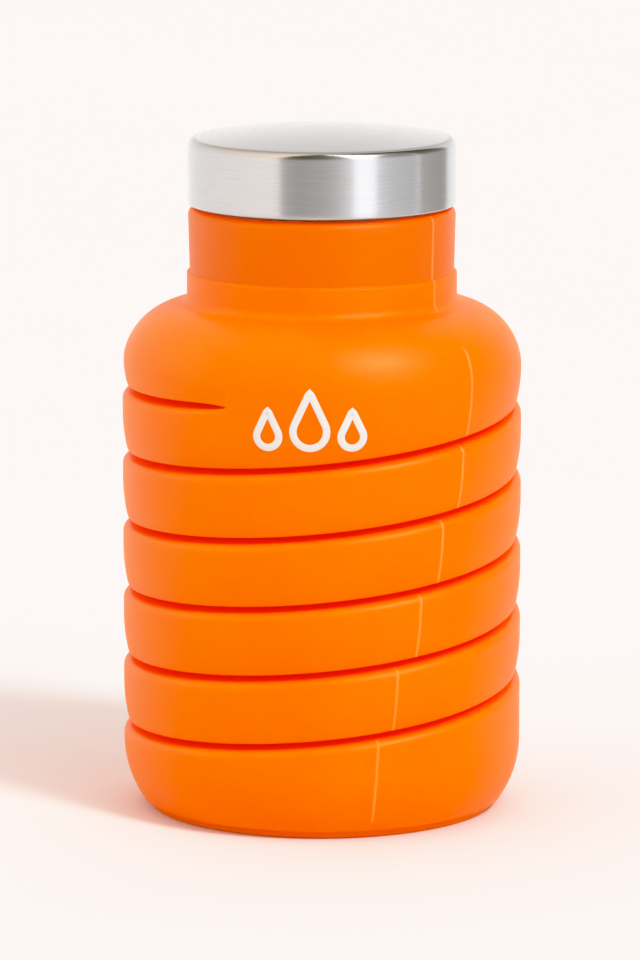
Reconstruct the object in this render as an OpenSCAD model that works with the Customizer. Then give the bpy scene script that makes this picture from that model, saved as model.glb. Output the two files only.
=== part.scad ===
// Folding water bottle: a one-piece silicone body with a spiral fold, stored collapsed,
// with a moulded-in threaded neck insert and a screw cap.
// Millimetres, +Z up. The origin is the centre of the foot, on the surface it stands on.
// Azimuths are in degrees, counterclockwise seen from above, and 0 is the front, towards -Y.

/* [Silicone body] */
// Outside diameter of the body
body_d = 82.6; // [81:0.1:85]
// Wall thickness of the body
wall = 2.7; // [2.2:0.1:2.9]
// Diameter of the foot ring
foot_d = 71.8; // [68:0.1:73]
// Height of the foot ring
foot_h = 1.8; // [1:0.1:2.2]
// Radius of the curve that turns the base cup in to the foot
cup_round = 21.4; // [20:0.1:23]
// Height where the base cup reaches its full diameter
cup_full_z = 14; // [13:0.1:14.5]

/* [Spiral fold] */
// Height of the lowest groove at the front
low_groove_z = 21.4; // [21:0.1:24]
// Rise of the folded spiral for each turn
pitch = 14.2; // [13:0.1:16]
// Height of the slit between neighbouring bands when folded
slit = 1.4; // [1:0.1:1.8]
// Azimuth of the groove's upper end
tip_az = -28; // [-40:1:-20]
// How far the groove's upper end droops below the spiral
tip_droop = 0.9; // [0:0.1:1.2]
// How far the folded bands lean up to the right
lean_side = 1.6; // [0:0.1:2]
// How far the folded bands lean up to the back
lean_back = 1.8; // [0:0.1:2]
// How far each band's lower edge stands in from its middle
band_taper = 0.9; // [0.4:0.1:1.2]
// How far the folded web reaches in from the bands
web_depth = 8.4; // [7:0.1:9]
// Thickness of the folded web
web_wall = 1.0; // [0.8:0.1:1.1]

/* [Shoulder and neck] */
// Radius of the rounded shoulder
shoulder_round = 13.5; // [13:0.1:14]
// Diameter of the neck below its step
neck_d = 55.8; // [55.4:0.1:56.4]
// Height of the neck below its step
neck_low_h = 6.5; // [5:0.1:8]
// Diameter of the neck ring under the cap
ring_d = 55.2; // [54.6:0.1:55.3]
// Height of the neck ring under the cap
ring_h = 13.3; // [12:0.1:15]

/* [Neck insert] */
// Outside diameter of the insert inside the silicone neck
insert_d = 50.4; // [50.2:0.1:50.8]
// Diameter of the mouth
mouth_d = 41.2; // [40.6:0.1:41.6]
// Diameter of the threaded spigot under its thread
spigot_d = 45.2; // [45:0.1:45.4]
// Height of the spigot above the neck ring
spigot_h = 9.9; // [9.7:0.1:10]

/* [Cap] */
// Outside diameter of the steel shell
cap_d = 55.34; // [55:0.01:55.6]
// Height of the cap, with its crown
cap_h = 15.8; // [15.7:0.1:16.4]
// Height of the crown above the rounded rim
crown_h = 2.5; // [2:0.1:2.6]
// Radius of the rim between the side and the crown
rim_round = 2.0; // [1.8:0.1:2.4]
// Thickness of the steel
steel = 0.7; // [0.6:0.1:0.8]
// Inside diameter of the liner under its thread
liner_d = 48.8; // [48.6:0.1:49]

/* [Hidden] */
MOVING_BANDS = 9;                  // half turns of the spiral between the shoulder and the base cup
HALF_TURN = 180;
END_GAP = 0.45;                    // degrees that a band's end stands off its half turn
STEP = 7.5;                        // degrees between the rings of a swept band
WEB_STEP = 10;                     // degrees between the rings of the swept web
WEB_GAP = 0.4;                     // clearance between the web and the bands
WEB_LIP = 0.2;                     // how far the V's lips lean in from its outer edges
THREAD_LEAD = 8;
THREAD_STARTS = 2;
THREAD_SPAN = 264;                 // degrees that each ridge runs round its wall
THREAD_UP = 2.3;                   // height of a ridge's start above the neck ring
THREAD_STEP = 12;                  // degrees between the rings of a swept thread
THREAD_REACH = 1.5;                // how far a ridge stands off the wall that carries it
THREAD_ROOT = 1.0;                 // half the width of a ridge at the wall
THREAD_CREST = 0.45;               // half the width of a ridge at its crest
THREAD_SINK = 0.4;                 // how far a ridge is sunk in its wall
SPLIT = 0.3;                       // clearance between pieces that move apart
CAP_GAP = 0.6;                     // gap between the neck ring and the closed cap
EDGE_ROUND = 1.0;                  // radius of small moulded edges
FLOOR = 3.0;                       // thickness of the bottom
FOOT_W = 5.0;                      // width of the foot ring
BEAD_H = 1.6;                      // height of the insert's locking bead
BEAD_W = 1.0;                      // how far the locking bead stands out
BEAD_UP = 4.0;                     // height of the bead above the insert's lower end
LOW_WALL = 2.2;                    // wall of the insert inside the neck
FUNNEL_H = 2.0;                    // height of the slope from the insert's wide bore to the mouth
GASKET_H = 1.8;
GASKET_W = 3.0;
GASKET_UP = 0.25;                  // clearance between the mouth's rim and the gasket
LINER_UP = 0.4;                    // how far the liner's lower edge stands inside the steel's
GROOVE_END = (MOVING_BANDS + 2) * HALF_TURN;   // degrees from the groove's upper end to its lower end

body_r = body_d / 2;
inner_r = body_r - wall;
shoulder_z = low_groove_z + (GROOVE_END / 360 - 0.5) * pitch - 0.4;
neck_z = shoulder_z + shoulder_round;
step_z = neck_z + neck_low_h;
ring_z = step_z + ring_h;
insert_z = shoulder_z + shoulder_round - wall;
spigot_z = ring_z + spigot_h;
cap_z = ring_z + CAP_GAP;
cap_top_z = cap_z + cap_h;
crown_r = cap_d / 2 - rim_round;
crown_ball = (crown_r * crown_r + crown_h * crown_h) / (2 * crown_h);
gasket_z = spigot_z + GASKET_UP;
liner_roof_z = gasket_z + GASKET_H + SPLIT;

$fn = 96;

// Points of an arc in a radius-height plane
function arc(centre, radius, from, to, steps = 8) =
    [for (i = [0:steps]) let (a = from + (to - from) * i / steps)
        centre + radius * [cos(a), sin(a)]];

// A point at a radius and height, turned to an azimuth
function at(az, p) = [p.x * sin(az), -p.x * cos(az), p.y];

// Height of the groove's upper edge, s degrees down the spiral from its upper end
function groove_z(s) =
    let (az = tip_az - s)
    low_groove_z + (GROOVE_END / 360 - 0.5) * pitch + pitch * az / 360
    + lean_side * sin(az) + lean_back * (1 - cos(az))
    - tip_droop * pow(max(0, 1 - s / 240), 2);

// Section of a band s degrees down the spiral, with a rounded top and a crisp lower edge
function band_section(s) =
    let (top = groove_z(s) - slit, low = groove_z(s + 360))
    concat([[inner_r, low + EDGE_ROUND], [body_r - band_taper, low], [body_r, low + pitch / 2]],
           arc([body_r - 2 * EDGE_ROUND, top - 2 * EDGE_ROUND], 2 * EDGE_ROUND, 0, 90, 3),
           [[inner_r, top]]);

// Section of the web: a V that opens outwards, behind the slit
function web_section(s) =
    let (z = groove_z(s) - slit / 2, out = inner_r - WEB_GAP, fold = inner_r - web_depth,
         lip = out - WEB_LIP)
    [[out, z - 2 * web_wall], [lip, z - web_wall], [fold + web_wall, z], [lip, z + web_wall],
     [out, z + 2 * web_wall], [fold, z + web_wall / 2], [fold, z - web_wall / 2]];

// Section of everything within the wall's reach between the spiral and a far height
function block_section(s, drop, far) =
    let (z = groove_z(s) - drop, r1 = inner_r - web_depth, r2 = body_r + wall)
    [[r1, min(z, far)], [r2, min(z, far)], [r2, max(z, far)], [r1, max(z, far)]];

// Solid through equal rings of points, given counterclockwise and in rising azimuth
module sweep(rings) {
    n = len(rings[0]);
    last = len(rings) - 1;
    polyhedron([for (ring = rings) each ring],
        concat([[for (k = [n - 1:-1:0]) k]],
               [for (j = [0:last - 1], k = [0:n - 1])
                   let (a = j * n + k, b = j * n + (k + 1) % n)
                   each [[a, b, b + n], [a, b + n, a + n]]],
               [[for (k = [0:n - 1]) last * n + k]]));
}

// Part of the body below or above the spiral, for cutting; each half turn is one sweep
module spiral_block(from, to, drop, far) {
    steps = ceil((to - from) / STEP);
    sweep([for (i = [steps:-1:0]) let (s = from + (to - from) * i / steps)
        [for (p = block_section(s, drop, far)) at(tip_az - s, p)]]);
}

// Thread ridges that stand outwards (side 1) or inwards (side -1) from a wall at radius r
module thread(r, side, z, az) {
    steps = THREAD_SPAN / THREAD_STEP;
    for (start = [0:THREAD_STARTS - 1])
        sweep([for (i = [0:steps]) let (
                a = az + start * 360 / THREAD_STARTS + i * THREAD_STEP,
                mid = z + THREAD_LEAD * i * THREAD_STEP / 360,
                fade = min(1, 0.2 + 0.4 * min(i, steps - i)),
                crest = r + side * THREAD_REACH * fade,
                root = r - side * THREAD_SINK,
                ridge = [[root, -THREAD_ROOT], [crest, -THREAD_CREST],
                         [crest, THREAD_CREST], [root, THREAD_ROOT]])
            [for (k = [0:3]) at(a, ridge[side > 0 ? k : 3 - k] + [0, mid])]]);
}

module base_cup() {
    centre = [body_r - cup_round, cup_full_z];
    floor_z = foot_h - 0.6 + FLOOR;
    tall = low_groove_z + pitch * 1.5;
    color("darkorange") difference() {
        rotate_extrude() polygon(concat(
            [[0, foot_h - 0.6], [foot_d / 2 - FOOT_W, foot_h - 0.6], [foot_d / 2 - FOOT_W, 0],
             [foot_d / 2, 0], [foot_d / 2, foot_h]],
            arc(centre, cup_round, asin((foot_h - cup_full_z) / cup_round), 0),
            [[body_r, tall], [inner_r, tall]],
            arc(centre, cup_round - wall, 0, asin((floor_z - cup_full_z) / (cup_round - wall))),
            [[0, floor_z]]));
        spiral_block(GROOVE_END - 360 - STEP / 10, GROOVE_END - HALF_TURN, slit, tall + 1);
        spiral_block(GROOVE_END - HALF_TURN, GROOVE_END, slit, tall + 1);
    }
}

module spiral_band(i) {
    from = (i - 1) * HALF_TURN + END_GAP;
    to = i * HALF_TURN - END_GAP;
    steps = HALF_TURN / STEP;
    color("orange") sweep([for (k = [steps:-1:0]) let (s = from + (to - from) * k / steps)
        [for (p = band_section(s)) at(tip_az - s, p)]]);
}

module fold_web() {
    steps = GROOVE_END / WEB_STEP;
    color("firebrick") sweep([for (k = [steps:-1:0]) let (s = k * WEB_STEP)
        [for (p = web_section(s)) at(tip_az - s, p)]]);
}

module shoulder() {
    centre = [body_r - shoulder_round, shoulder_z];
    low = groove_z(360) - pitch;
    color("darkorange") difference() {
        rotate_extrude() polygon(concat(
            [[inner_r, low], [body_r, low]],
            arc(centre, shoulder_round, 0, acos((neck_d / 2 - centre.x) / shoulder_round)),
            [[neck_d / 2, step_z], [ring_d / 2, step_z]],
            arc([ring_d / 2 - EDGE_ROUND, ring_z - EDGE_ROUND], EDGE_ROUND, 0, 90, 4),
            [[insert_d / 2, ring_z], [insert_d / 2, insert_z]],
            arc(centre, shoulder_round - wall, acos(0), 0)));
        bead(SPLIT / 10);
        spiral_block(0, HALF_TURN, 0, low - 1);
        spiral_block(HALF_TURN, 360 + STEP / 10, 0, low - 1);
    }
}

// The ring that locks the insert in the silicone, or, grown, the groove that holds it
module bead(grow) {
    translate([0, 0, insert_z + BEAD_UP - grow]) difference() {
        cylinder(h = BEAD_H + 2 * grow, r = insert_d / 2 + BEAD_W + grow);
        translate([0, 0, -1]) cylinder(h = BEAD_H + 2 * grow + 2, r = insert_d / 2 - 1);
    }
}

module neck_insert() {
    wide_r = insert_d / 2 - LOW_WALL;
    funnel_z = ring_z - LOW_WALL - FUNNEL_H;
    color("gainsboro") union() {
        rotate_extrude() polygon(concat(
            [[wide_r, insert_z], [insert_d / 2, insert_z], [insert_d / 2, ring_z],
             [spigot_d / 2, ring_z]],
            arc([spigot_d / 2 - EDGE_ROUND / 2, spigot_z - EDGE_ROUND / 2], EDGE_ROUND / 2, 0, 90, 3),
            [[mouth_d / 2, spigot_z], [mouth_d / 2, funnel_z + FUNNEL_H], [wide_r, funnel_z]]));
        bead(0);
        thread(spigot_d / 2, 1, ring_z + THREAD_UP, 0);
    }
}

module cap_gasket() {
    color("white") translate([0, 0, gasket_z]) difference() {
        cylinder(h = GASKET_H, r = mouth_d / 2 + GASKET_W + SPLIT);
        translate([0, 0, -1]) cylinder(h = GASKET_H + 2, r = mouth_d / 2 + SPLIT);
    }
}

module cap_liner() {
    out = cap_d / 2 - steel;
    rim = rim_round - steel;
    rim_z = cap_top_z - crown_h - rim_round;
    color("whitesmoke") union() {
        rotate_extrude() polygon(concat(
            [[liner_d / 2, cap_z + LINER_UP], [out, cap_z + LINER_UP]],
            arc([out - rim, rim_z], rim, 0, 90, 4),
            [[0, rim_z + rim], [0, liner_roof_z], [liner_d / 2, liner_roof_z]]));
        thread(liner_d / 2, -1, ring_z + THREAD_UP, 90);
    }
}

// Half section of the cap's outside, drawn in by the thickness of the steel for its inside
function cap_outline(inset) =
    let (r = cap_d / 2, rim_z = cap_top_z - crown_h - rim_round, tilt = asin(crown_r / crown_ball))
    concat([[r - inset, cap_z]],
           arc([r - rim_round, rim_z], rim_round - inset, 0, 90 - tilt, 6),
           arc([0, cap_top_z - crown_ball], crown_ball - inset, 90 - tilt, 90, 8));

module cap_shell() {
    color("silver") rotate_extrude() polygon(concat(
        cap_outline(0), [for (i = [len(cap_outline(0)) - 1:-1:0]) cap_outline(steel)[i]]));
}

base_cup();
for (i = [1:MOVING_BANDS])
    spiral_band(i);
fold_web();
shoulder();
neck_insert();
cap_gasket();
cap_liner();
cap_shell();
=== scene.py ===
"""Looks of the folding water bottle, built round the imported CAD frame.

Metres in Blender, +Z up. Shapes are worked out in millimetres and scaled once, in add_mesh().
An azimuth is in degrees, counterclockwise seen from above, and 0 is the front, towards -Y.
A profile is a list of (radius, height) points. s is degrees down the spiral groove from its
upper end, and a share is how much of the expand joint's travel a point takes.
"""
import math

import bmesh
import bpy
import numpy as np
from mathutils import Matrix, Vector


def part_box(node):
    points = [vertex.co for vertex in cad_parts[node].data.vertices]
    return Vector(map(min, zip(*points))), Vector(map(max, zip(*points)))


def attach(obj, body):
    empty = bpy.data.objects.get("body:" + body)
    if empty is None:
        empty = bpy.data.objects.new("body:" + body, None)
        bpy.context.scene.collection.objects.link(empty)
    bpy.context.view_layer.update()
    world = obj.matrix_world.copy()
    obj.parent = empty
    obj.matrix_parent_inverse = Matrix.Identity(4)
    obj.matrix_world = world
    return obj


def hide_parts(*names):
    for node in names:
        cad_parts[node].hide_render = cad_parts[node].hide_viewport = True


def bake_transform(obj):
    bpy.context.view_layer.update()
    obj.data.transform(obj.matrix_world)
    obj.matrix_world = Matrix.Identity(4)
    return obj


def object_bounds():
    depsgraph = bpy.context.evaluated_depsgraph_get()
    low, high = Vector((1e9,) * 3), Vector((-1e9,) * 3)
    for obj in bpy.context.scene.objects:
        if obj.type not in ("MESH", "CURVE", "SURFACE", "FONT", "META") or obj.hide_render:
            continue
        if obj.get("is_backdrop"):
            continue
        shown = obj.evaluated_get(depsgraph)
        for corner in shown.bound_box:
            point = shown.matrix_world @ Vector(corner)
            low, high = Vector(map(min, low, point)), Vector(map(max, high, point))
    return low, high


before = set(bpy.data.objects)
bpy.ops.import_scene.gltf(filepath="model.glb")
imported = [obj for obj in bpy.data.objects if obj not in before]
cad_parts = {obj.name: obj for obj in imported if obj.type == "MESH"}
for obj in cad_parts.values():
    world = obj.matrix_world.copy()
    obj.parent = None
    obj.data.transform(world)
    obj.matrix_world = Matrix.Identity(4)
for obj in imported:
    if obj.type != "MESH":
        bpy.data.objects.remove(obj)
CAD_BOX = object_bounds()

MM = 0.001
FULL_TURN = 360.0
MERGE = 1e-4
ON_AXIS = 1e-6
ANGLE_SLACK = 1e-6
ROUND_COLUMNS = 192


# ---------------------------------------------------------------- sizes, from the frame
def node_mm(node):
    """A CAD node's outer radius, lowest and highest point, in millimetres."""
    low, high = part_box(node)
    return high[0] / MM, low[2] / MM, high[2] / MM


BODY_R = node_mm("base_cup")[0]
RING_TOP = node_mm("shoulder")[2]
CAP_R, CAP_BOTTOM, CAP_TOP = node_mm("cap_shell")
INSERT_BOTTOM = node_mm("neck_insert")[1]

# Silicone walls
WALL = 2.7
INNER_R = BODY_R - WALL
WEB_THICK = 1.0

# Base cup and foot
CUP_ROUND = 21.4
CUP_FULL_Z = 14.0
FOOT_H = 1.8
FOOT_R = 35.9
FOOT_W = 5.0
FOOT_RECESS = 1.2
FOOT_EDGE = 0.5
FLOOR_TOP = 4.2
FLOOR_R = 12.0

# Shoulder and neck
SHOULDER_Z = 92.0
SHOULDER_ROUND = 13.5
NECK_R = 27.9
NECK_STEP_Z = RING_TOP - 13.3
RING_R = 27.6
RING_WAIST = 27.3
RING_EDGE = 1.6
STEP_ROUND = 0.4
INSERT_R = 25.2
CORNER_FILLET = 2.0

# Spiral fold
LOW_GROOVE_Z = 21.4
PITCH = 14.2
SLIT = 1.4
TIP_AZ = -28.0
TIP_DROOP = 0.9
DROOP_SPAN = 240.0
LEAN_SIDE = 1.6
LEAN_BACK = 1.8
SPIRAL_END = 5.5 * FULL_TURN
TAPER = 0.95
TAPER_H = 8.0
BAND_ROUND = 1.6
FOLD_R = 34.6
EDGE = 0.25

# Parting line of the mould: its azimuth on the shoulder, on each band down the front, and on the neck
SEAM_AZ = np.array([47.0, 43.5, 36.0, 28.7, 21.4, 16.3])
NECK_SEAM_AZ = 55.0
SEAM_H = 0.16
SEAM_HALF = 0.26
SEAM_LEAN = 0.08
SEAM_REACH = 4.0

# Where the painted shade and glow of the groove start, in from the outside, and fade out above and below the
# fold
DEEP_START = 0.6
DEEP_FADE_LOW = 1.0
DEEP_FADE_TOP = 1.5

# How the body's mesh is laid out
COLUMN_STEP = 2.0
NEAR_END = (0.25, 0.5, 0.8, 1.2, 1.7, 2.3, 3.1, 4.0, 5.2)
NEAR_SEAM = (0.14, 0.28, 0.45, 0.8)
INSIDE_EARLY = 6.0
WEDGE_POWER = 0.3
SQUEEZE_H = 4.0
TIP_SPAN = 16.0
TIP_LEAST = 0.2
DEEP_SPAN = 5.0
LIP_SPAN = 40.0
PLAIN_ROWS = 8
PLAIN_TOP_Z = 101.0
PLAIN_IN_TOP_Z = 100.0
PLAIN_LOW_Z = 5.8
# Rows over the outside of a band: along each fold, round its top, down its side and round its lower edge
FOLD_STEPS = (0, 0.3, 0.65, 1)
TOP_ANGLES = np.linspace(90, 0, 10)
SIDE_STEPS = (0.05, 0.12, 0.25, 0.4, 0.55, 0.7, 0.82, 0.92, 1)
EDGE_ANGLES = (0, 30, 60, 90)
# Rows over its inside: the folded web as (way out from the fold, height), and the wall
WEB_STEPS = ((0.0, 0.0), (0.06, 0.3), (0.3, 0.65), (0.65, 1.0), (0.93, 1.25), (1.0, 1.7))
# The height in that list that stands for half a slit and a web's thickness
WEB_FULL = 1.25
WALL_STEPS = (0.15, 0.5, 0.85)

# Cap
RIM_ROUND = 1.7
CROWN_H = 2.1
CAP_LIP = 0.35

# Mark on the shoulder
MARK_AZ = -3.4
MARK_LOW_Z = 81.6
MARK_STROKE = 1.5
MARK_PROUD = 0.05
MARK_SINK = 0.3
# The stroke's section: (place across, in half widths, and height over the body)
MARK_SECTION = ((-1, -MARK_SINK), (-1, MARK_PROUD * 0.6), (-0.94, MARK_PROUD), (0, MARK_PROUD),
                (0.94, MARK_PROUD), (1, MARK_PROUD * 0.6), (1, -MARK_SINK))
BOWL_STEPS = 40
SLOPE_STEPS = 12
# Each drop's place across, height and bowl radius
DROPS = ((-8.6, 7.6, 2.3), (0.0, 11.4, 3.4), (8.6, 7.6, 2.3))


# ---------------------------------------------------------------- mesh helpers
def at(az, r, z):
    """Points at azimuths, radii and heights."""
    a = np.radians(az)
    return np.stack(np.broadcast_arrays(r * np.sin(a), -r * np.cos(a), z), -1)


def arc(centre, radius, start, end, steps):
    """Profile points along an arc, angles in degrees from the radius axis."""
    return [(centre[0] + radius * math.cos(math.radians(a)),
             centre[1] + radius * math.sin(math.radians(a)))
            for a in np.linspace(start, end, steps + 1)]


class Shape:
    """Points in millimetres and the faces between them.

    Each point also has its share and a seam value, which is 1 on the mould's parting line.
    """

    def __init__(self):
        self.points = []
        self.shares = []
        self.seams = []
        self.faces = []

    def ring(self, az, r, z, share, seam=0.0):
        """Adds one point per azimuth, or a single shared one on the axis, and returns their numbers."""
        first = len(self.points)
        if np.max(r) < ON_AXIS:
            self.points.append([0.0, 0.0, float(np.mean(z))])
            self.shares.append(float(np.mean(share)))
            self.seams.append(0.0)
            return [first] * len(az)
        self.points.extend(at(az, r, z).tolist())
        self.shares.extend(np.broadcast_to(share, len(az)).tolist())
        self.seams.extend(np.broadcast_to(seam, len(az)).tolist())
        return list(range(first, first + len(az)))

    def bridge(self, one, two, closed=True):
        """Faces between two rows of points; those that collapse are thinned or left out."""
        for c in range(len(one) if closed else len(one) - 1):
            d = (c + 1) % len(one)
            face = [one[c], one[d], two[d], two[c]]
            face = [v for i, v in enumerate(face) if v != face[i - 1]]
            if len(set(face)) == len(face) > 2:
                self.faces.append(face)

    def revolve(self, profile):
        """Adds a closed profile turned about the axis."""
        az = np.arange(ROUND_COLUMNS) * FULL_TURN / ROUND_COLUMNS
        rows = [self.ring(az, r, z, 0.0) for r, z in profile]
        for one, two in zip(rows, rows[1:] + rows[:1]):
            self.bridge(one, two)


def add_mesh(name, shape, material):
    """A new smooth object from a shape. Points that coincide are merged."""
    mesh = bpy.data.meshes.new(name)
    mesh.from_pydata((np.asarray(shape.points) * MM).tolist(), [], shape.faces)
    mesh.attributes.new("share", "FLOAT", "POINT").data.foreach_set("value", shape.shares)
    mesh.attributes.new("seam", "FLOAT", "POINT").data.foreach_set("value", shape.seams)
    work = bmesh.new()
    work.from_mesh(mesh)
    loose = [v for v in work.verts if not v.link_faces]
    bmesh.ops.delete(work, geom=loose, context="VERTS")
    bmesh.ops.remove_doubles(work, verts=work.verts, dist=MERGE * MM)
    bmesh.ops.recalc_face_normals(work, faces=work.faces)
    work.to_mesh(mesh)
    work.free()
    mesh.polygons.foreach_set("use_smooth", [True] * len(mesh.polygons))
    mesh.materials.append(material)
    piece = bpy.data.objects.new(name, mesh)
    bpy.context.scene.collection.objects.link(piece)
    return piece


# ---------------------------------------------------------------- the spiral
def groove_line(s):
    """Height of the middle of the groove."""
    az = TIP_AZ - s
    a = np.radians(az)
    top = LOW_GROOVE_Z + (SPIRAL_END / FULL_TURN - 0.5) * PITCH
    droop = TIP_DROOP * np.maximum(0, 1 - s / DROOP_SPAN) ** 2
    lean = LEAN_SIDE * np.sin(a) + LEAN_BACK * (1 - np.cos(a))
    return top + PITCH * az / FULL_TURN + lean - droop - SLIT / 2


def band_share(s):
    """The share of the band below the groove at s."""
    return np.clip(1 - s / (SPIRAL_END - FULL_TURN), 0, 1)


def wall_radius(z, wall):
    """Radius of the body at a height, a wall's thickness in from its outside, without grooves."""
    cup_round, dome_round = CUP_ROUND - wall, SHOULDER_ROUND - wall
    down = np.clip(CUP_FULL_Z - z, 0, cup_round)
    up = np.clip(z - SHOULDER_Z, 0, dome_round)
    cup = BODY_R - CUP_ROUND + np.sqrt(cup_round ** 2 - down ** 2)
    dome = BODY_R - SHOULDER_ROUND + np.sqrt(dome_round ** 2 - up ** 2)
    return np.minimum(cup, dome)


def columns_az():
    """Azimuths of the body's columns: even steps, and closer ones beside the groove's ends."""
    ends = [TIP_AZ + early for early in (0, INSIDE_EARLY)]
    ends += [TIP_AZ - SPIRAL_END - early for early in (0, INSIDE_EARLY)]
    az = [TIP_AZ + step for step in np.arange(0, FULL_TURN, COLUMN_STEP)]
    az += [end + side * d for end in ends for side in (-1, 1) for d in (0,) + NEAR_END]
    seams = SEAM_AZ.tolist() + [NECK_SEAM_AZ]
    az += [seam + side * d for seam in seams for side in (-1, 1) for d in (0,) + NEAR_SEAM]
    return np.unique(np.mod(np.round(np.mod(az, FULL_TURN), 3), FULL_TURN))


class Skin:
    """One side of the silicone wall: a strip down the spiral and the plain surfaces beyond it.

    The strip's rows run from the fold of one groove, over a band, to the fold of the next.
    Above the groove's upper end and below its lower end the strip narrows to a point at that
    end, and its rows lie in the plain surface there. A skin's groove can start and end a few
    degrees early, which keeps the wall's thickness round the ends of the groove outside.
    """
    early = 0.0
    wall = 0.0

    def __init__(self):
        self.end = SPIRAL_END + 2 * self.early
        self.tip_az = TIP_AZ + self.early
        turn = np.unique(np.mod(np.round(self.tip_az - columns_az(), 3), FULL_TURN))
        self.turn = len(turn)
        s = np.concatenate([turn + FULL_TURN * k for k in range(-1, math.ceil(self.end / FULL_TURN))])
        self.s = s[s <= self.end + ANGLE_SLACK]

    def line(self, s):
        return groove_line(np.clip(s, 0, self.end) - self.early)

    def share(self, s):
        return band_share(s - self.early)

    def upper(self):
        """Height of the strip's upper side."""
        s = self.s
        span = self.line(0) - self.line(FULL_TURN)
        open_share = (np.clip(s + FULL_TURN, 0, FULL_TURN) / FULL_TURN) ** WEDGE_POWER
        return np.where(s >= 0, self.line(s), self.line(s + FULL_TURN) + span * open_share)

    def lower(self):
        """Height of the strip's lower side."""
        s = self.s
        last = self.end - FULL_TURN
        span = self.line(last) - self.line(self.end)
        open_share = (np.clip(self.end - s, 0, FULL_TURN) / FULL_TURN) ** WEDGE_POWER
        return np.where(s <= last, self.line(s + FULL_TURN), self.line(s) - span * open_share)

    def grown(self, s, span):
        """0 beyond the groove's ends, rising in a round start to 1 within span degrees of them."""
        near = np.clip(np.minimum(s, self.end - s) / span, 0, 1)
        return np.sqrt(1 - (1 - near) ** 2)

    def radius(self, s, z):
        return wall_radius(z, self.wall)

    def ring(self, shape, s, r, z, share):
        """Adds one row of points, at the skin's own azimuths."""
        return shape.ring(self.tip_az - s, r, z, share)

    def build(self, shape, above, below):
        """Adds the strip, then what closes it above and below, down or up to a profile each."""
        strip = self.rows()
        last = len(self.s) - 1
        ids = [self.ring(shape, self.s, *row) for row in strip[:-1]]
        lowest = self.ring(shape, self.s, *strip[-1])
        for j in range(last + 1 - self.turn):
            lowest[j] = ids[0][j + self.turn]
        ids.append(lowest)
        for row in ids:
            row[0] = ids[0][self.turn]
            row[last] = lowest[last - self.turn] = ids[0][last]
        for one, two in zip(ids, ids[1:]):
            shape.bridge(one, two, closed=False)
        for edge, start, profile, share in ((ids[0], 0, above, 1.0),
                                            (lowest, last - self.turn, below, 0.0)):
            columns = slice(start, start + self.turn)
            s = self.s[columns]
            row = edge[columns]
            edge_z = np.array([shape.points[v][2] for v in row])
            for t in np.linspace(0, 1, PLAIN_ROWS + 1)[1:]:
                z = edge_z + (profile[0] - edge_z) * t
                nearer = self.ring(shape, s, self.radius(s, z), z, share)
                shape.bridge(row, nearer)
                row = nearer
            for r, z in profile[1]:
                nearer = self.ring(shape, s, r, z, share)
                shape.bridge(row, nearer)
                row = nearer


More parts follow.
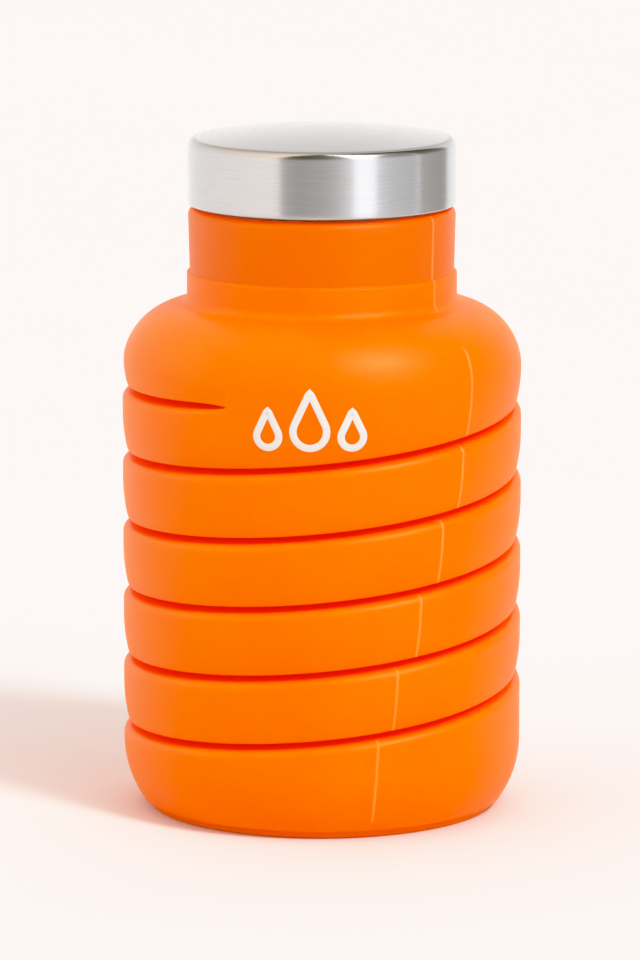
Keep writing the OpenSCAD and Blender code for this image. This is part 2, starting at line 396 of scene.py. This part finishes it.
class OuterSkin(Skin):
    """The outside: rounded band tops, tapering sides, crisp lower edges and dark slits."""

    def taper(self, s, z):
        """How far a band stands in above its lower edge."""
        lip_z = self.line(s + FULL_TURN) + SLIT / 2
        up = np.clip(1 - (z - lip_z) / TAPER_H, 0, 1)
        return TAPER * self.grown(s + FULL_TURN, LIP_SPAN) * up ** 2

    def radius(self, s, z):
        return wall_radius(z, 0) - self.taper(s, z)

    def ring(self, shape, s, r, z, share):
        """Adds a row with the mould's parting line on it, which leans a little to the right."""
        r, z, s = np.broadcast_arrays(r, z, s)
        turn = np.clip(np.round((s - TIP_AZ + SEAM_AZ.mean()) / FULL_TURN), 0, len(SEAM_AZ) - 1).astype(int)
        az = self.tip_az - s
        off = az + FULL_TURN * turn - SEAM_AZ[turn]
        on_body = (r > INNER_R + 0.1) & (z < SHOULDER_Z + SHOULDER_ROUND)
        middle = self.line(s + FULL_TURN) + PITCH / 2
        near = np.clip(SEAM_REACH - np.abs(off), 0, SEAM_REACH / 2) / (SEAM_REACH / 2)
        lean = np.clip(z - middle, -PITCH, PITCH) * SEAM_LEAN * near
        neck_off = np.mod(az - NECK_SEAM_AZ + FULL_TURN / 2, FULL_TURN) - FULL_TURN / 2
        on_neck = (z > SHOULDER_Z + SHOULDER_ROUND) & (r > INSERT_R + 1)
        off = np.where(on_neck, neck_off, np.where(on_body & (z > FOOT_H + EDGE), off, FULL_TURN))
        seam = np.exp(-(np.radians(off) * r / SEAM_HALF) ** 2)
        return shape.ring(az + np.where(on_body, lean, 0), r + SEAM_H * seam, z, share, seam)

    def rows(self):
        s = self.s
        top, low = self.upper(), self.lower()
        squeeze = np.minimum(1, (top - low) / SQUEEZE_H)
        share = self.share(s)
        fold_up = (self.share(s - FULL_TURN) + share) / 2
        fold_low = (share + self.share(s + FULL_TURN)) / 2
        half_up, half_low = (SLIT / 2 * np.maximum(self.grown(x, TIP_SPAN), TIP_LEAST)
                             for x in (s, s + FULL_TURN))
        deep_up, deep_low = (self.grown(x, DEEP_SPAN) for x in (s, s + FULL_TURN))
        bulge = BAND_ROUND * (TIP_LEAST + (1 - TIP_LEAST) * self.grown(s, LIP_SPAN))
        lip_r = self.radius(s, low + SLIT / 2)

        def sunk(z, r, deep):
            plain = self.radius(s, z)
            return plain + (r - plain) * deep

        rows = []
        for q in FOLD_STEPS:
            z = top - half_up * squeeze * q
            r = FOLD_R + (INNER_R - FOLD_R) * q
            rows.append((sunk(z, r, deep_up), z, fold_up + (share - fold_up) * q))
        for a in TOP_ANGLES:
            z = top - (half_up + bulge * (1 - math.sin(math.radians(a)))) * squeeze
            r = BODY_R - bulge * (1 - math.cos(math.radians(a)))
            rows.append((sunk(z, r, deep_up), z, share))
        side_top = top - (half_up + bulge) * squeeze
        side_low = low + (half_low + 3 * EDGE) * squeeze
        for t in SIDE_STEPS:
            z = side_top + (side_low - side_top) * t
            rows.append((self.radius(s, z), z, share))
        for a in EDGE_ANGLES:
            z = low + (half_low + EDGE * (1 - math.sin(math.radians(a)))) * squeeze
            r = lip_r - EDGE * (1 - math.cos(math.radians(a)))
            rows.append((sunk(z, r, deep_low), z, share))
        z = low + half_low * squeeze
        rows.append((sunk(z, lip_r - 3 * EDGE, deep_low), z, share))
        for q in reversed(FOLD_STEPS):
            z = low + half_low * squeeze * q
            r = FOLD_R + (INNER_R - FOLD_R) * q
            rows.append((sunk(z, r, deep_low), z, fold_low + (share - fold_low) * q))
        return rows


class InnerSkin(Skin):
    """The inside: a plain wall with the folded web standing in from it."""
    early = INSIDE_EARLY
    wall = WALL

    def rows(self):
        s = self.s
        top, low = self.upper(), self.lower()
        squeeze = np.minimum(1, (top - low) / (2 * SQUEEZE_H))
        share = self.share(s)
        fold_up = (self.share(s - FULL_TURN) + share) / 2
        fold_low = (share + self.share(s + FULL_TURN)) / 2
        deep_up, deep_low = (self.grown(x, DEEP_SPAN) for x in (s, s + FULL_TURN))
        fold_r = FOLD_R - WEB_THICK
        up, down = [], []
        for q, off in WEB_STEPS:
            r = fold_r + (INNER_R - fold_r) * q
            reach = off * (SLIT / 2 + WEB_THICK) / WEB_FULL
            for side, deep, fold, start in ((up, deep_up, fold_up, top), (down, deep_low, fold_low, low)):
                z = start + reach * squeeze * (-1 if side is up else 1)
                plain = self.radius(s, z)
                side.append((plain + (r - plain) * deep, z, fold + (share - fold) * q))
        middle = []
        for t in WALL_STEPS:
            z = up[-1][1] + (down[-1][1] - up[-1][1]) * t
            middle.append((self.radius(s, z), z, share))
        return up + middle + down[::-1]


# ---------------------------------------------------------------- silicone body
def neck_profile():
    """Outside of the neck from the shoulder up, and over its top edge to the insert."""
    centre = (BODY_R - SHOULDER_ROUND, SHOULDER_Z)
    fillet_x = NECK_R + CORNER_FILLET
    reach = SHOULDER_ROUND + CORNER_FILLET
    fillet_z = SHOULDER_Z + math.sqrt(reach ** 2 - (fillet_x - centre[0]) ** 2)
    lean = math.degrees(math.atan2(fillet_z - SHOULDER_Z, fillet_x - centre[0]))
    start = math.degrees(math.asin((PLAIN_TOP_Z - SHOULDER_Z) / SHOULDER_ROUND))
    waist_z = NECK_STEP_Z + 0.3
    ring_rise = RING_TOP - 2.0 - NECK_STEP_Z
    return (arc(centre, SHOULDER_ROUND, start, lean, 14)[1:]
            + arc((fillet_x, fillet_z), CORNER_FILLET, 180 + lean, 180, 8)[1:]
            + [(NECK_R, NECK_STEP_Z - 2.0), (NECK_R, NECK_STEP_Z - 0.8)]
            + arc((NECK_R - STEP_ROUND, NECK_STEP_Z - STEP_ROUND), STEP_ROUND, 0, 80, 6)
            + [(RING_WAIST, NECK_STEP_Z + 0.05), (RING_WAIST, waist_z)]
            + [(RING_WAIST + (RING_R - RING_WAIST) * t, waist_z + ring_rise * t) for t in (0.15, 0.4, 0.7, 1)]
            + arc((RING_R - RING_EDGE, RING_TOP - RING_EDGE), RING_EDGE, 10, 90, 6)
            + [(INSERT_R + 0.3, RING_TOP), (INSERT_R, RING_TOP)])


def neck_inside_profile():
    """Inside of the silicone neck, up to the same edge."""
    centre = (BODY_R - SHOULDER_ROUND, SHOULDER_Z)
    start = math.degrees(math.asin((PLAIN_IN_TOP_Z - SHOULDER_Z) / (SHOULDER_ROUND - WALL)))
    return (arc(centre, SHOULDER_ROUND - WALL, start, 90, 8)[1:]
            + [(INSERT_R, z) for z in (INSERT_BOTTOM + 0.01, INSERT_BOTTOM + 4, RING_TOP - 1, RING_TOP)])


def foot_profile():
    """Outside of the base cup below its plain wall, the foot ring and the recess under it."""
    centre = (BODY_R - CUP_ROUND, CUP_FULL_Z)
    start = -math.degrees(math.asin((CUP_FULL_Z - PLAIN_LOW_Z) / CUP_ROUND))
    edge = -math.degrees(math.asin((CUP_FULL_Z - FOOT_H - EDGE) / CUP_ROUND))
    wall_r = centre[0] + CUP_ROUND * math.cos(math.radians(edge))
    inside = FOOT_R - FOOT_W
    return (arc(centre, CUP_ROUND, start, edge, 10)[1:]
            + arc((wall_r - EDGE, FOOT_H + EDGE), EDGE, -20, -90, 4)
            + [(FOOT_R + 0.4, FOOT_H), (FOOT_R, FOOT_H - 0.3)]
            + arc((FOOT_R - FOOT_EDGE, FOOT_EDGE), FOOT_EDGE, 0, -90, 4)
            + arc((inside + FOOT_EDGE, FOOT_EDGE), FOOT_EDGE, -90, -180, 4)
            + [(inside - 0.3, FOOT_RECESS), (inside - 2, FOOT_RECESS),
               (FLOOR_R, FOOT_RECESS), (0, FOOT_RECESS)])


def floor_profile():
    """Inside of the base cup below its plain wall, and the floor."""
    centre = (BODY_R - CUP_ROUND, CUP_FULL_Z)
    inside = CUP_ROUND - WALL
    start = -math.degrees(math.asin((CUP_FULL_Z - PLAIN_LOW_Z) / inside))
    edge = -math.degrees(math.asin((CUP_FULL_Z - FLOOR_TOP) / inside))
    return arc(centre, inside, start, edge, 8)[1:] + [(30, FLOOR_TOP), (FLOOR_R, FLOOR_TOP), (0, FLOOR_TOP)]


def silicone_body(material):
    """The whole silicone moulding, outside and inside, as one mesh."""
    shape = Shape()
    OuterSkin().build(shape, (PLAIN_TOP_Z, neck_profile()), (PLAIN_LOW_Z, foot_profile()))
    InnerSkin().build(shape, (PLAIN_IN_TOP_Z, neck_inside_profile()), (PLAIN_LOW_Z, floor_profile()))
    return add_mesh("silicone_body", shape, material)


def store_depth(body):
    """Stores how deep in the groove each point is, 0 at the outside and 1 at the fold.

    It is stored with the mesh, so the painted shade and glow of the slits stay in place when the bottle
    opens.
    """
    points = np.empty(3 * len(body.data.vertices), np.float32)
    body.data.vertices.foreach_get("co", points)
    x, y, z = points.reshape(-1, 3).T / MM
    deep = np.interp(np.hypot(x, y), (INNER_R - 0.1, BODY_R - DEEP_START), (1, 0))
    deep *= np.interp(z, (CUP_FULL_Z - DEEP_FADE_LOW, CUP_FULL_Z + DEEP_FADE_LOW), (0, 1))
    deep *= np.interp(z, (SHOULDER_Z - DEEP_FADE_TOP, SHOULDER_Z), (1, 0))
    body.data.attributes.new("deep", "FLOAT", "POINT").data.foreach_set("value", deep.astype(np.float32))


def blend_body(body):
    """Bakes the body's placement into its points and reads each point's share of the expand joint's travel.
    """
    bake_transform(body)
    shares = np.empty(len(body.data.vertices), np.float32)
    body.data.attributes["share"].data.foreach_get("value", shares)


# ---------------------------------------------------------------- cap
def cap_outline(inset):
    """Outside of the steel cap from its lower edge to the axis, or its inside, drawn in by inset."""
    crown_r = CAP_R - RIM_ROUND
    rim_z = CAP_TOP - CROWN_H - RIM_ROUND
    ball = (crown_r ** 2 + CROWN_H ** 2) / (2 * CROWN_H)
    tilt = math.degrees(math.asin(crown_r / ball))
    return ([(CAP_R - inset, z) for z in (CAP_BOTTOM + CAP_LIP, CAP_BOTTOM + 2, rim_z - 1)]
            + arc((crown_r, rim_z), RIM_ROUND - inset, 0, 90 - tilt, 14)
            + arc((0, CAP_TOP - ball), ball - inset, 90 - tilt, 90, 12)[1:])


def cap_shell(material):
    """The steel shell: a thin wall with a rounded lower lip."""
    shape = Shape()
    lip = arc((CAP_R - CAP_LIP, CAP_BOTTOM + CAP_LIP), CAP_LIP, 180, 360, 8)[:-1]
    shape.revolve(lip + cap_outline(0) + cap_outline(2 * CAP_LIP)[:0:-1])
    return add_mesh("cap_steel_shell", shape, material)


# ---------------------------------------------------------------- mark on the shoulder
def mark_radius(az, z):
    """Radius of the shoulder's outside under the mark."""
    return OUTER.radius(np.array(TIP_AZ - az), np.array(z))


def stroke(shape, path):
    """Adds a closed stroke along (x, z) points on the shoulder, a little proud of it."""
    path = np.array(path)
    along = np.roll(path, -1, 0) - np.roll(path, 1, 0)
    along /= np.linalg.norm(along, axis=1)[:, None]
    side = np.stack([along[:, 1], -along[:, 0]], -1) * MARK_STROKE / 2
    rows = []
    for offset, lift in MARK_SECTION:
        x, z = (path + side * offset).T
        az = MARK_AZ + np.degrees(x / BODY_R)
        rows.append(shape.ring(az, mark_radius(az, z) + lift, z, 1.0))
    for one, two in zip(rows, rows[1:] + rows[:1]):
        shape.bridge(one, two)


def drop(shape, x, height, bowl_r):
    """Adds the outline of a drop that stands on the mark's base line."""
    low = MARK_LOW_Z + bowl_r
    tip = MARK_LOW_Z + height
    lean = math.degrees(math.acos(bowl_r / (tip - low)))
    bowl = arc((x, low), bowl_r, 90 + lean, 90 + FULL_TURN - lean, BOWL_STEPS)
    left, right = bowl[0], bowl[-1]
    fine = np.linspace(0, 1, SLOPE_STEPS + 1)[1:]
    climb = [(right[0] + (x - right[0]) * t, right[1] + (tip - right[1]) * t) for t in fine]
    fall = [(x + (left[0] - x) * t, tip + (left[1] - tip) * t) for t in fine[:-1]]
    stroke(shape, bowl + climb + fall)


def drop_mark(material):
    """Three plain water drops in outline, the middle one larger."""
    shape = Shape()
    for x, height, bowl_r in DROPS:
        drop(shape, x, height, bowl_r)
    return add_mesh("shoulder_mark", shape, material)


# ---------------------------------------------------------------- materials
class Look:
    """A Principled material, and short ways to add nodes to it."""

    def __init__(self, name, **values):
        self.material = bpy.data.materials.new(name)
        self.material.use_nodes = True
        self.tree = self.material.node_tree
        self.shader = self.tree.nodes["Principled BSDF"]
        for key, value in values.items():
            self.shader.inputs[key.replace("_", " ")].default_value = value

    def put(self, socket, value):
        """Links a socket to another one, or gives it a plain value."""
        if isinstance(value, bpy.types.NodeSocket):
            self.tree.links.new(value, socket)
        else:
            socket.default_value = value

    def node(self, kind, inputs=(), **settings):
        made = self.tree.nodes.new(kind)
        for key, value in settings.items():
            setattr(made, key, value)
        for i, value in dict(inputs).items():
            self.put(made.inputs[i], value)
        return made

    def math(self, operation, *values):
        return self.node("ShaderNodeMath", enumerate(values), operation=operation).outputs[0]

    def place(self):
        """Object coordinates, in millimetres, and their parts."""
        source = self.node("ShaderNodeTexCoord").outputs["Object"]
        scaled = self.node("ShaderNodeVectorMath", {0: source, 3: 1 / MM}, operation="SCALE").outputs[0]
        split = self.node("ShaderNodeSeparateXYZ", {0: scaled})
        return scaled, split.outputs[0], split.outputs[1], split.outputs[2]

    def from_axis(self, x, y):
        """Distance from the bottle's axis."""
        return self.math("SQRT", self.math("ADD", self.math("MULTIPLY", x, x), self.math("MULTIPLY", y, y)))

    def noise(self, where, scale, detail=3.0, rough=0.5):
        """Noise, its scale in features per unit of where."""
        inputs = {"Vector": where, "Scale": scale, "Detail": detail, "Roughness": rough}
        return self.node("ShaderNodeTexNoise", inputs).outputs[0]

    def span(self, value, low, high, out_low=0.0, out_high=1.0):
        """A value's place between low and high, on the scale from out_low to out_high."""
        inputs = {0: value, 1: low, 2: high, 3: out_low, 4: out_high}
        return self.node("ShaderNodeMapRange", inputs).outputs[0]

    def mix(self, share, one, two):
        """A colour between two; the Mix node's colour sockets are 6 and 7."""
        return self.node("ShaderNodeMix", {0: share, 6: one, 7: two}, data_type="RGBA").outputs[2]

    def bump(self, height, strength, distance, under=None):
        """A bumped normal, distance in millimetres, over another one if given."""
        inputs = {"Height": height, "Strength": strength, "Distance": distance * MM}
        if under:
            inputs["Normal"] = under
        return self.node("ShaderNodeBump", inputs).outputs[0]

    def set(self, **values):
        for key, value in values.items():
            self.put(self.shader.inputs[key.replace("_", " ")], value)


def rgb(red, green, blue):
    """An opaque colour."""
    return (red, green, blue, 1.0)


# Silicone colours: plain tones, the ring's tint, painted shade deep in the slits, dust and a painted
# highlight on the parting line; and a painted red glow that stands in for light the silicone carries through
# its wall into the slits and the gap under the cap
ORANGE = rgb(0.96, 0.127, 0.0)
LIGHT_ORANGE = rgb(0.97, 0.137, 0.0)
RING_ORANGE = rgb(0.74, 0.106, 0.004)
SLIT_PAINTED_SHADE = rgb(0.93, 0.045, 0.0)
DUST_ORANGE = rgb(1.0, 0.55, 0.3)
SEAM_PAINTED_HIGHLIGHT = rgb(1.0, 0.33, 0.09)
GLOW_RED = rgb(1.0, 0.006, 0.0)
SLIT_GLOW = 0.1
UNDER_CAP_GLOW = 0.25
GLOW_DEPTH = (1.0, 0.2)

# Steel colours, and where the painted dark reflection line at the crown's bend fades in and out, by radius
STEEL_DARK = rgb(0.485, 0.483, 0.515)
STEEL_LIGHT = rgb(0.555, 0.553, 0.59)
STEEL_CLOUD = rgb(0.47, 0.465, 0.49)
BEND_PAINTED_REFLECTION = rgb(0.19, 0.188, 0.18)
BEND_R = CAP_R - RIM_ROUND
BEND_IN = (BEND_R - 0.2, BEND_R + 0.3)
BEND_OUT = (BEND_R + 0.7, BEND_R + 1.3)
GRAIN_TURN = 2.2
GRAIN_RISE = 7.0

# White plastics and rubber, and flow lines that run round the axis
LINER_WHITE = rgb(0.80, 0.80, 0.78)
LINER_SHADE = rgb(0.74, 0.74, 0.72)
INSERT_WHITE = rgb(0.76, 0.76, 0.74)
INSERT_SHADE = rgb(0.70, 0.70, 0.68)
GASKET_WHITE = rgb(0.82, 0.83, 0.82)
GASKET_SHADE = rgb(0.77, 0.78, 0.77)
FLOW_STRETCH = (0.06, 0.06, 0.9)
# Ink, and the silicone that shows through its pinholes
INK = rgb(0.66, 0.62, 0.615)
INK_PINHOLE = rgb(0.72, 0.45, 0.33)


def silicone_look():
    """Matte orange silicone: painted shade and a painted red glow deep in the slits, a painted glow under the
    cap and a painted highlight on the parting line; faintly mottled, with a fine grain and dust.
    """
    look = Look("orange_silicone", Specular_IOR_Level=0.45, Subsurface_Weight=0.4, Subsurface_Scale=0.005,
                Sheen_Weight=0.3, Sheen_Roughness=0.2)
    look.shader.inputs["Subsurface Radius"].default_value = (1.0, 0.12, 0.02)
    look.shader.inputs["Sheen Tint"].default_value = rgb(1.0, 0.5, 0.3)
    look.shader.inputs["Specular Tint"].default_value = rgb(1.0, 0.74, 0.38)
    where, x, y, z = look.place()
    mottle = look.noise(where, 0.06, 2.0)
    plain = look.mix(look.span(mottle, 0.35, 0.65), ORANGE, LIGHT_ORANGE)
    ring = look.span(z, NECK_STEP_Z - 0.2, NECK_STEP_Z + 0.2)
    tinted = look.mix(ring, plain, RING_ORANGE)
    deep = look.node("ShaderNodeAttribute", attribute_name="deep").outputs["Fac"]
    # Painted shade: the colour turns deeper red towards the groove's fold, where the slits lie in shade
    colour = look.mix(deep, tinted, SLIT_PAINTED_SHADE)
    grain = look.noise(where, 6.0, 3.0, 0.6)
    dust = look.span(look.noise(where, 1.4, 6.0, 0.75), 0.71, 0.78)
    colour = look.mix(look.math("MULTIPLY", dust, 0.25), colour, DUST_ORANGE)
    seam = look.node("ShaderNodeAttribute", attribute_name="seam").outputs["Fac"]
    # Painted highlight: the parting line's small ridge is real, and its paler colour paints the light that
    # ridge catches
    colour = look.mix(look.math("MULTIPLY", seam, 0.6), colour, SEAM_PAINTED_HIGHLIGHT)
    look.set(Base_Color=colour, Roughness=look.span(mottle, 0.3, 0.7, 0.42, 0.49))
    # Painted glow: red emission deep in the slits and just under the cap stands in for light carried through
    # the silicone
    near_cap = look.span(z, RING_TOP - GLOW_DEPTH[0], RING_TOP - GLOW_DEPTH[1])
    under_cap = look.math("MULTIPLY", near_cap, UNDER_CAP_GLOW)
    glow = look.math("ADD", look.math("MULTIPLY", deep, SLIT_GLOW), under_cap)
    look.set(Emission_Color=GLOW_RED, Emission_Strength=glow)
    waves = look.bump(look.noise(where, 0.25, 2.0), 0.25, 0.12)
    look.set(Normal=look.bump(grain, 0.2, 0.02, waves))
    return look.material


def steel_look():
    """Brushed stainless steel: fine rings of scratches, a few longer ones and a painted dark reflection line
    at the crown's bend.
    """
    look = Look("brushed_steel", Metallic=1.0)
    where, x, y, z = look.place()
    radius = look.from_axis(x, y)
    az = look.math("ARCTAN2", x, y)
    height = look.math("SUBTRACT", z, radius)
    turned = look.node("ShaderNodeCombineXYZ",
                       {0: look.math("MULTIPLY", look.math("SINE", az), GRAIN_TURN),
                        1: look.math("MULTIPLY", look.math("COSINE", az), GRAIN_TURN),
                        2: look.math("MULTIPLY", height, GRAIN_RISE)}).outputs[0]
    fine = look.noise(turned, 1.6, 4.0, 0.65)
    long = look.noise(turned, 0.35, 2.0, 0.5)
    cloud = look.noise(where, 0.07, 3.0)
    tone = look.mix(look.span(fine, 0.3, 0.7), STEEL_DARK, STEEL_LIGHT)
    tone = look.mix(look.math("MULTIPLY", look.span(cloud, 0.35, 0.7), 0.25), tone, STEEL_CLOUD)
    # Painted reflection: a darker line where the crown bends down into the wall
    bend = look.math("MULTIPLY", look.span(radius, *BEND_IN), look.span(radius, *BEND_OUT, 1.0, 0.0))
    tone = look.mix(look.math("MULTIPLY", bend, 0.45), tone, BEND_PAINTED_REFLECTION)
    look.set(Base_Color=tone, Roughness=look.span(long, 0.3, 0.7, 0.13, 0.22))
    look.set(Normal=look.bump(fine, 0.16, 0.012))
    return look.material


def moulded_look(name, colour, dark, roughness, specular, glow):
    """Plain moulded plastic or rubber: cloudy tone, fine grain and faint flow lines."""
    look = Look(name, Specular_IOR_Level=specular, Subsurface_Weight=glow, Subsurface_Scale=0.002)
    where = look.place()[0]
    cloud = look.noise(where, 0.12, 3.0)
    stretched = look.node("ShaderNodeVectorMath", {0: where, 1: FLOW_STRETCH}, operation="MULTIPLY")
    flow = look.noise(stretched.outputs[0], 1.5, 3.0)
    tone = look.mix(look.span(cloud, 0.3, 0.7), colour, dark)
    look.set(Base_Color=tone, Roughness=look.span(flow, 0.3, 0.7, roughness, roughness + 0.12))
    look.set(Normal=look.bump(look.noise(where, 4.0, 3.0, 0.6), 0.15, 0.02, look.bump(flow, 0.1, 0.03)))
    return look.material


def mark_look():
    """Silk-screened white print: thin ink with pinholes."""
    look = Look("white_print", Specular_IOR_Level=0.3)
    where = look.place()[0]
    grain = look.noise(where, 2.2, 5.0, 0.7)
    tone = look.mix(look.span(grain, 0.62, 0.74), INK, INK_PINHOLE)
    look.set(Base_Color=tone, Roughness=look.span(grain, 0.3, 0.7, 0.5, 0.62))
    look.set(Normal=look.bump(look.noise(where, 7.0, 2.0), 0.12, 0.01))
    return look.material


# ---------------------------------------------------------------- pieces
SILICONE_LOOK = silicone_look()
STEEL_LOOK = steel_look()
PRINT_LOOK = mark_look()
NODE_LOOKS = {
    "cap_liner": moulded_look("white_plastic", LINER_WHITE, LINER_SHADE, 0.32, 0.4, 0.1),
    "neck_insert": moulded_look("insert_plastic", INSERT_WHITE, INSERT_SHADE, 0.36, 0.4, 0.15),
    "cap_gasket": moulded_look("gasket_silicone", GASKET_WHITE, GASKET_SHADE, 0.5, 0.3, 0.2),
}

OUTER = OuterSkin()
body = silicone_body(SILICONE_LOOK)
store_depth(body)
blend_body(body)
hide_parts("base_cup", *[f"spiral_band_{i}" for i in range(1, 10)], "fold_web", "shoulder")

shell = cap_shell(STEEL_LOOK)
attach(shell, "cap")
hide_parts("cap_shell")

mark = drop_mark(PRINT_LOOK)
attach(mark, "upper")

for node, material in NODE_LOOKS.items():
    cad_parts[node].data.materials.clear()
    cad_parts[node].data.materials.append(material)


# ---------------------------------------------------------------- floor, light and camera
FLOOR_SIZE = 8.0
FLOOR_COLOUR = rgb(0.775, 0.68, 0.67)
FLOOR_CLOUD = rgb(0.765, 0.67, 0.66)

# The dome's radius, the height of its centre, its lowest and highest elevation, and its mesh steps
DOME_R = 0.42
DOME_Z = 0.13
DOME_LOW = -17.0
DOME_HIGH = 89.0
DOME_ROWS = 36
DOME_STEP = 3.0
# Sines of the elevations between which the dome's contrast rises, and how far
CONTRAST_FROM = 0.05
CONTRAST_TO = 0.65
CONTRAST = 3.0

KEY_AZ = 44.0
KEY_UP = 46.0
KEY_WIDE = 12.0
KEY_LIGHT = 2.0
KEY_COLOUR = (1.0, 0.97, 0.94)
ROOM_LIGHT = 1.4

CAMERA_AT = (0, -1.2317, 0.2878)
CAMERA_DOWN = 10.123
LENS = 225.86
SENSOR = 36.0
SHIFT = -0.002

# How the picture's highlights roll off: (scene light, shown light), and the blue that is lost to black
TONES = ((0.2, 0.2), (0.4, 0.4), (0.65, 0.66), (0.9, 0.87), (1.15, 0.965), (1.6, 1.0))
BLUE_FLOOR = 0.03
COMBINED_CURVE = 3

# The room by azimuth: (degrees, brightness, warmth), and what full warmth takes off green and blue
ROOM = (
    (-180, 0.86, 0.2), (-120, 0.94, 0.5), (-36, 1.06, 0.9), (-33, 0.50, 0.4), (-20, 0.42, 0.4),
    (2, 0.50, 0.4), (15, 0.66, 0.4), (25, 0.88, 0.2), (30, 1.5, 0.1), (42, 1.5, 0.1),
    (48, 0.80, 0.1), (60, 0.68, 0.1), (85, 0.60, 0.1), (87, 0.78, 0.1), (89, 0.78, 0.1),
    (92, 0.50, 0.4), (120, 0.41, 0.3), (128, 0.43, 0.1), (136, 0.92, 0.1), (180, 0.86, 0.2),
)
WARM_GREEN = 0.08
WARM_BLUE = 0.16


def room_ramp(tree, direction):
    """A colour by the azimuth of a direction."""
    parts = tree.nodes.new("ShaderNodeSeparateXYZ")
    flip = tree.nodes.new("ShaderNodeMath")
    turn = tree.nodes.new("ShaderNodeMath")
    scale = tree.nodes.new("ShaderNodeMapRange")
    ramp = tree.nodes.new("ShaderNodeValToRGB")
    flip.operation, turn.operation = "MULTIPLY", "ARCTAN2"
    flip.inputs[1].default_value = -1.0
    scale.inputs["From Min"].default_value = -math.pi
    scale.inputs["From Max"].default_value = math.pi
    tree.links.new(direction, parts.inputs[0])
    tree.links.new(parts.outputs[1], flip.inputs[0])
    tree.links.new(parts.outputs[0], turn.inputs[0])
    tree.links.new(flip.outputs[0], turn.inputs[1])
    tree.links.new(turn.outputs[0], scale.inputs[0])
    tree.links.new(scale.outputs[0], ramp.inputs[0])
    stops = ramp.color_ramp.elements
    while len(stops) < len(ROOM):
        stops.new(1.0)
    for stop, (az, bright, warm) in zip(stops, ROOM):
        stop.position = az / FULL_TURN + 0.5
        stop.color = rgb(bright, bright * (1 - WARM_GREEN * warm), bright * (1 - WARM_BLUE * warm))
    return ramp.outputs[0]


def light_the_room():
    """Soft light from all round, and a wide sun from the upper right."""
    world = bpy.data.worlds.new("room")
    world.use_nodes = True
    bpy.context.scene.world = world
    tree = world.node_tree
    direction = tree.nodes.new("ShaderNodeTexCoord").outputs["Generated"]
    back = tree.nodes["Background"]
    tree.links.new(room_ramp(tree, direction), back.inputs[0])
    back.inputs[1].default_value = ROOM_LIGHT
    sun = bpy.data.lights.new("key", "SUN")
    sun.energy = KEY_LIGHT
    sun.angle = math.radians(KEY_WIDE)
    sun.color = KEY_COLOUR
    key = bpy.data.objects.new("key", sun)
    key.rotation_euler = (math.radians(90 - KEY_UP), 0, math.radians(KEY_AZ))
    bpy.context.scene.collection.objects.link(key)


def lay_the_floor():
    """A pale paper floor, wide enough to fill the picture."""
    look = Look("paper_floor", Roughness=0.9, Specular_IOR_Level=0.05)
    where = look.place()[0]
    cloud = look.noise(where, 0.004, 2.0)
    look.set(Base_Color=look.mix(cloud, FLOOR_COLOUR, FLOOR_CLOUD))
    look.set(Normal=look.bump(look.noise(where, 1.5, 3.0), 0.05, 0.05))
    mesh = bpy.data.meshes.new("floor")
    half = FLOOR_SIZE / 2
    corners = [(-half, -half, 0), (half, -half, 0), (half, half, 0), (-half, half, 0)]
    mesh.from_pydata(corners, [], [(0, 1, 2, 3)])
    mesh.materials.append(look.material)
    floor = bpy.data.objects.new("floor", mesh)
    bpy.context.scene.collection.objects.link(floor)
    floor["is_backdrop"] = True


def hang_the_dome():
    """The room as the steel sees it: a dome that only reflections show, with more contrast overhead."""
    look = Look("room_dome", Base_Color=rgb(0, 0, 0), Roughness=1.0, Specular_IOR_Level=0.0)
    place = look.node("ShaderNodeTexCoord").outputs["Object"]
    centred = look.node("ShaderNodeVectorMath", {0: place, 1: (0, 0, -DOME_Z)}, operation="ADD").outputs[0]
    direction = look.node("ShaderNodeVectorMath", {0: centred}, operation="NORMALIZE").outputs[0]
    up = look.node("ShaderNodeSeparateXYZ", {0: direction}).outputs[2]
    contrast = look.span(up, CONTRAST_FROM, CONTRAST_TO, 1.0, CONTRAST)
    colour = look.node("ShaderNodeGamma", {0: room_ramp(look.tree, direction), 1: contrast}).outputs[0]
    look.set(Emission_Color=colour, Emission_Strength=ROOM_LIGHT)
    az = np.arange(0, FULL_TURN, DOME_STEP)
    shape = Shape()
    profile = arc((0, DOME_Z / MM), DOME_R / MM, DOME_LOW, DOME_HIGH, DOME_ROWS)
    rows = [shape.ring(az, r, z, 0.0) for r, z in profile]
    for one, two in zip(rows, rows[1:]):
        shape.bridge(one, two)
    dome = add_mesh("room_dome", shape, look.material)
    dome.visible_camera = dome.visible_diffuse = dome.visible_shadow = dome.visible_transmission = False
    dome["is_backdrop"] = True


def set_the_camera():
    camera = bpy.data.cameras.new("camera")
    camera.lens = LENS
    camera.sensor_width = SENSOR
    camera.shift_x = SHIFT
    holder = bpy.data.objects.new("camera", camera)
    holder.location = CAMERA_AT
    holder.rotation_euler = (math.radians(90 - CAMERA_DOWN), 0, 0)
    bpy.context.scene.collection.objects.link(holder)
    bpy.context.scene.camera = holder


def set_the_tones():
    """Rolls off the highlights, and takes a little blue out of the darks."""
    shown = bpy.context.scene.view_settings
    shown.view_transform = "Standard"
    shown.use_curve_mapping = True
    mapping = shown.curve_mapping
    brightest = TONES[-1][0]
    mapping.white_level = (brightest, brightest, brightest)
    mapping.black_level = (0.0, 0.0, BLUE_FLOOR)
    points = mapping.curves[COMBINED_CURVE].points
    for light, tone in TONES[:-1]:
        points.new(light / brightest, tone)
    mapping.update()


light_the_room()
lay_the_floor()
hang_the_dome()
set_the_camera()
set_the_tones()

bpy.context.view_layer.update()
VISUAL_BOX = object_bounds()
boxes = {"cad": CAD_BOX, "visual": VISUAL_BOX}
boxes = {name: [list(corner) for corner in box] for name, box in boxes.items()}
